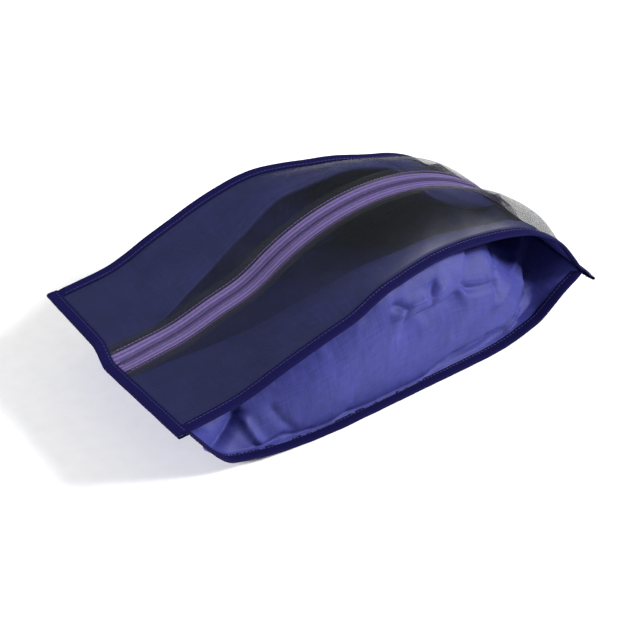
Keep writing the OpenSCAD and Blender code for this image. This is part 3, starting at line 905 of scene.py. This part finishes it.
for half, seed in ((NEAR, 1), (FAR, 2)):
    make_long_binding("top", half, TOP[half], TOP_N[half], TOP_Y[half], seed)
for half, seed in ((NEAR, 3), (FAR, 4)):
    make_long_binding("bottom", half, BASE, BASE_N, EDGE_Y, seed)
make_end_binding(-1, "left", -HALF_W)
make_end_binding(1, "right", -HALF_W - TAIL)


# ---- Zipper -------------------------------------------------------------------------------
COIL_PITCH = 1.45
COIL_W, COIL_H, SLIT = 2.2, 1.2, 0.5
COIL_WIRE, WIRE_SIDES = 0.34, 5  # the wire's radius
COIL_UP = 0.3  # from the tape's middle to the coil
LOOP_POINTS = 10
WEDGE_T = 0.3  # between the slider's plates
ZIP_STITCH = FILM_EDGE + 1.6  # from the zipper's middle to the stitches in the film


def make_tape(side):
    name = f"tape_zip_{WORD[side]}"
    y = np.concatenate([[SLIT, SLIT + 0.3], np.linspace(1.4, TAPE_HALF, 9)])
    grid = ZIP[:, None] + (side * y[None, :, None]) * Y
    # A cord-like thick edge beside the coil, and a gentle hollow towards the film
    lift = 0.15 * np.exp(-(((y - 3.4) / 0.5) ** 2)) + 0.12 * np.sin(y * 1.3)
    grid = grid + lift[None, :, None] * ZIP_N[:, None]
    obj = sheet(name, warp(grid), TAPE_T)
    finish_piece(obj, TAPE, "bag", "zipper_tape", f"zipper_tape_{WORD[side]}")
    line = film_height(side, np.full((ROWS, 1), ZIP_STITCH))[:, 0] + 0.14 * ZIP_N
    row = slice(6, -6)
    stitches(f"{name}_thread", warp(line)[row], ZIP_N[row], TAPE_THREAD)


def rings_along(path, helper, radius, sides, flat=1.0):
    """Rings of points round a path. helper is any direction across it, and flat widens the
    rings that way."""
    along = np.gradient(path, axis=0)
    along /= np.linalg.norm(along, axis=1)[:, None]
    first = np.cross(along, helper)
    first /= np.linalg.norm(first, axis=1)[:, None]
    second = np.cross(along, first)
    a = np.linspace(0, 2 * np.pi, sides + 1)[:-1][None, :, None]
    round_it = np.cos(a) * first[:, None] + flat * np.sin(a) * second[:, None]
    return path[:, None] + radius * round_it


def make_coil(side):
    """One wire wound in flattened loops; the two coils mesh half a turn apart."""
    length = np.concatenate([[0], np.cumsum(np.linalg.norm(np.diff(ZIP, axis=0), axis=1))])
    start, stop = length[5], length[-6]
    turns = int((stop - start) / COIL_PITCH)
    phase = np.arange(turns * LOOP_POINTS) / LOOP_POINTS
    distance = start + (phase + (0.5 if side > 0 else 0)) * COIL_PITCH
    a = 2 * np.pi * phase
    mid = np.stack([np.interp(distance, length, ZIP[:, c]) for c in range(3)], -1)
    normal = np.stack([np.interp(distance, length, ZIP_N[:, c]) for c in range(3)], -1)
    # The loops end at the slider's wedge on one side and in the tape's edge on the other
    inside, outside = WEDGE_T / 2 + COIL_WIRE + 0.05, SLIT + COIL_W - 0.3
    y = side * ((inside + outside) / 2 + (outside - inside) / 2 * np.cos(a))
    squash = np.sign(np.sin(a)) * np.abs(np.sin(a)) ** 0.7
    z = COIL_UP + COIL_H / 2 + (COIL_H / 2 - 0.3) * squash
    path = mid + y[:, None] * Y + z[:, None] * normal
    rings = rings_along(path, normal, COIL_WIRE, WIRE_SIDES)
    obj = sweep(f"coil_{WORD[side]}", warp(rings))
    finish_piece(obj, COIL, "bag", "zipper_coil", f"zipper_coil_{WORD[side]}")


for half in (NEAR, FAR):
    make_tape(half)
for half in (NEAR, FAR):
    make_coil(half)


# ---- Slider and pull, made in the zipper's own frame --------------------------------------
PIVOT = joint_mm("pull_flip")
SLIDER_ANGLE = math.atan2(PIVOT[0] - ZIP_X, PIVOT[2] - ZIP_Z)
SLIDER_HALF_L, SLIDER_HALF_W, PLATE_T = 5.5, 4.4, 0.9
PLATE_HIGH = SHEET_T / 2 + 0.05 + COIL_H + 0.4
PLATE_LOW = -SHEET_T / 2 - 0.4 - PLATE_T
FLANGE_Y, FLANGE_HALF_T = SLIT + COIL_W + 0.5, 0.4
PULL_L, PULL_HALF_W, PULL_T, PULL_EDGE = 20.0, 3.0, 0.9, 0.18
PIVOT_R = 0.6
PIVOT_Z = float(np.hypot(PIVOT[0] - ZIP_X, PIVOT[2] - ZIP_Z))
BRIDGE_TOP = PLATE_HIGH + PLATE_T + 2 * PIVOT_R + 1.05
ON_ZIP = Matrix.Translation(Vector((ZIP_X, 0, ZIP_Z)) * MM) @ Matrix.Rotation(SLIDER_ANGLE, 4, "Y")


def rounded(points, radius, steps):
    """A closed outline with its corners rounded."""
    out = []
    points = [np.array(p, float) for p in points]
    for k, p in enumerate(points):
        before, after = points[k - 1], points[(k + 1) % len(points)]
        a, b = before - p, after - p
        reach = min(radius, np.linalg.norm(a) / 2.1, np.linalg.norm(b) / 2.1)
        start, stop = p + a / np.linalg.norm(a) * reach, p + b / np.linalg.norm(b) * reach
        for t in np.linspace(0, 1, steps):
            out.append((1 - t) ** 2 * start + 2 * t * (1 - t) * p + t * t * stop)
    return np.array(out)


def rounded_box(x0, x1, y0, y1, radius, steps):
    return rounded([(x0, y0), (x1, y0), (x1, y1), (x0, y1)], radius, steps)


def plate(outline, z0, z1, crown=0.0, bevel=0.22):
    """Points and faces of a plate with rounded edges, its top crowned a little."""
    centre = outline.mean(axis=0)
    soft = bevel * 0.3
    low = [(z0, bevel), (z0 + soft, soft), (z0 + bevel, 0)]
    levels = low + [(z1 - bevel, 0), (z1 - soft, soft), (z1, bevel)]
    verts = []
    for z, inset in levels:
        d = outline - centre
        scale = 1 - inset / np.linalg.norm(d, axis=1)
        verts += [(x, y, z) for x, y in centre + d * scale[:, None]]
    m = len(outline)
    rim = verts[-m:]
    cx, cy = centre
    crown_rings = ((0.7, 0.6), (0.35, 0.9))
    for share, rise in crown_rings:
        z = z1 + crown * rise
        verts += [(cx + (x - cx) * share, cy + (y - cy) * share, z) for x, y, _ in rim]
    tip = len(verts)
    verts.append((cx, cy, z1 + crown))
    faces = grid_faces(len(levels) + len(crown_rings), m, wrap=True)
    faces += [[tip - m + j, tip, tip - m + (j + 1) % m] for j in range(m)]
    faces.append(list(range(m)))
    return verts, faces


def tube(path, helper, radius, sides, flat=1.0):
    """Points and faces of a bar along a path."""
    rings = rings_along(np.array(path, float), helper, radius, sides, flat)
    return rings.reshape(-1, 3).tolist(), tube_faces(len(path), sides)


def cut_plate(outline, holes, thickness):
    """Points and faces of a flat plate with holes and rounded edges."""
    data = bpy.data.curves.new("outline", "CURVE")
    data.dimensions, data.fill_mode = "2D", "BOTH"
    data.extrude, data.bevel_depth = (thickness / 2 - PULL_EDGE) * MM, PULL_EDGE * MM
    data.bevel_resolution = 2
    data.offset = -PULL_EDGE * MM
    for loop in [outline, *holes]:
        spline = data.splines.new("POLY")
        spline.points.add(len(loop) - 1)
        for point, (x, y) in zip(spline.points, loop):
            point.co = (x * MM, y * MM, 0, 1)
        spline.use_cyclic_u = True
    shape = bpy.data.objects.new("outline", data)
    COLLECTION.objects.link(shape)
    evaluated = shape.evaluated_get(bpy.context.evaluated_depsgraph_get())
    mesh = bpy.data.meshes.new_from_object(evaluated)
    verts = [tuple(v.co / MM) for v in mesh.vertices]
    faces = [list(p.vertices) for p in mesh.polygons]
    bpy.data.objects.remove(shape)
    bpy.data.meshes.remove(mesh)
    return verts, faces


def joined(name, parts, height):
    """One object from some parts, set at a height above the zipper arc's middle."""
    verts, faces = [], []
    for v, f in parts:
        base = len(verts)
        verts += [tuple(p) for p in v]
        faces += [[base + q for q in face] for face in f]
    obj = new_object(name, verts, faces, np.array(verts)[:, :2])
    obj.data.transform(ON_ZIP @ Matrix.Translation(Vector((0, 0, height)) * MM))
    return obj


def make_slider():
    """Two plates with flanges, a wedge between them and a bridge for the pull."""
    end, side = SLIDER_HALF_L, SLIDER_HALF_W
    edge = [(-end, -side + 1.6), (-end + 1.8, -side), (end - 1.2, -side + 0.5), (end, -side + 1.7)]
    outline = rounded(edge + [(x, -y) for x, y in reversed(edge)], 1.4, 5)
    parts = [
        plate(outline, PLATE_HIGH, PLATE_HIGH + PLATE_T, crown=0.15),
        plate(outline, PLATE_LOW, PLATE_LOW + PLATE_T),
    ]
    for half in (NEAR, FAR):
        y = half * (FLANGE_Y + FLANGE_HALF_T)
        flange = rounded_box(-end + 1.6, end - 1.2, y - FLANGE_HALF_T, y + FLANGE_HALF_T, 0.3, 4)
        parts.append(plate(flange, SHEET_T / 2 + 0.4, PLATE_HIGH + 0.2, bevel=0.12))
    post = rounded_box(end - 2.4, end - 0.8, -WEDGE_T / 2, WEDGE_T / 2, 0.1, 3)
    parts.append(plate(post, PLATE_LOW + 0.3, PLATE_HIGH + 0.3, bevel=0.05))
    foot = [(-3.8, 0, PLATE_HIGH + 0.5), (-3.7, 0, BRIDGE_TOP - 1.1), (-3.2, 0, BRIDGE_TOP - 0.35)]
    rise = foot + [(-2.2, 0, BRIDGE_TOP)]
    arch = rise + [(0, 0, BRIDGE_TOP + 0.05)] + [(-x, y, z) for x, y, z in reversed(rise)]
    parts.append(tube(arch, Y, 0.45, 12, flat=1.7))
    slider = joined("slider_metal", parts, ZIP_R)
    finish_piece(slider, ENAMEL, "slider", "slider", "slider_body")


def arc_points(x, radius, angles):
    return [(x + radius * math.cos(a), radius * math.sin(a)) for a in angles]


def make_pull():
    """A leaf with a slot for the bridge and a small hole, and the bar it swings on."""
    half = PULL_HALF_W
    bar = tube([(0, y, 0) for y in np.linspace(-half, half, 7)], UP, PIVOT_R, 14)
    end_x = PULL_L - half
    tip = arc_points(end_x, half, np.linspace(-math.pi / 2, math.pi / 2, 15))
    outer = [(0, -half)] + tip + [(0, half)]
    slot = rounded_box(1.0, 6.0, -half + 1.4, half - 1.4, 0.8, 4)
    hole = arc_points(end_x, 1.0, np.linspace(0, 2 * math.pi, 17)[:-1])
    pull = joined("pull_metal", [bar, cut_plate(outer, [slot, hole], PULL_T)], PIVOT_Z)
    finish_piece(pull, ENAMEL, "pull", "slider", "pull_tab")


make_slider()
make_pull()


# ---- Stage, light and camera -----------------------------------------------------------------
def stage_material():
    m = Nodes("pale_floor", Roughness=0.7)
    grain = m.noise(m.place(), 90.0, 3.0, 0.5)
    colour = m.ramp(grain, srgb(246, 246, 246), srgb(250, 250, 250), 0.3, 0.7)
    return m.set(Base_Color=colour)


bpy.ops.mesh.primitive_plane_add(size=12, location=(0, 0, 0))
floor = bpy.context.object
floor.name = "floor"
floor.data.materials.append(stage_material())

scene = bpy.context.scene
scene.view_settings.view_transform = "Standard"
world = bpy.data.worlds.new("studio")
world.use_nodes = True
background = world.node_tree.nodes["Background"]
background.inputs["Color"].default_value = (1, 1, 1, 1)
background.inputs["Strength"].default_value = 0.34
scene.world = world

AIM = Vector((-14.2, -13.0, 27.6)) * MM  # the point in the bag that the lights and camera face


def direction(azimuth, elevation):
    """The way towards an eye that looks along the azimuth; 0 looks along +Y."""
    a, e = math.radians(azimuth), math.radians(elevation)
    return Vector((math.sin(a) * math.cos(e), -math.cos(a) * math.cos(e), math.sin(e)))


def facing(obj, way, distance):
    obj.location = AIM + way * distance
    obj.rotation_euler = way.to_track_quat("Z", "Y").to_euler()
    bpy.context.scene.collection.objects.link(obj)


def softbox(name, azimuth, elevation, distance, size, power):
    data = bpy.data.lights.new(name, "AREA")
    data.shape, data.size, data.size_y = "RECTANGLE", size[0], size[1]
    data.energy = power
    facing(bpy.data.objects.new(name, data), direction(azimuth, elevation), distance)


softbox("key", 52, 36, 3.0, (0.9, 0.8), 160)
softbox("side", -98, 34, 3.0, (1.3, 1.1), 84)

camera = bpy.data.cameras.new("camera")
camera.lens, camera.sensor_width = 102.5, 36
eye = bpy.data.objects.new("camera", camera)
facing(eye, direction(-35, 40), 1.4)
scene.camera = eye
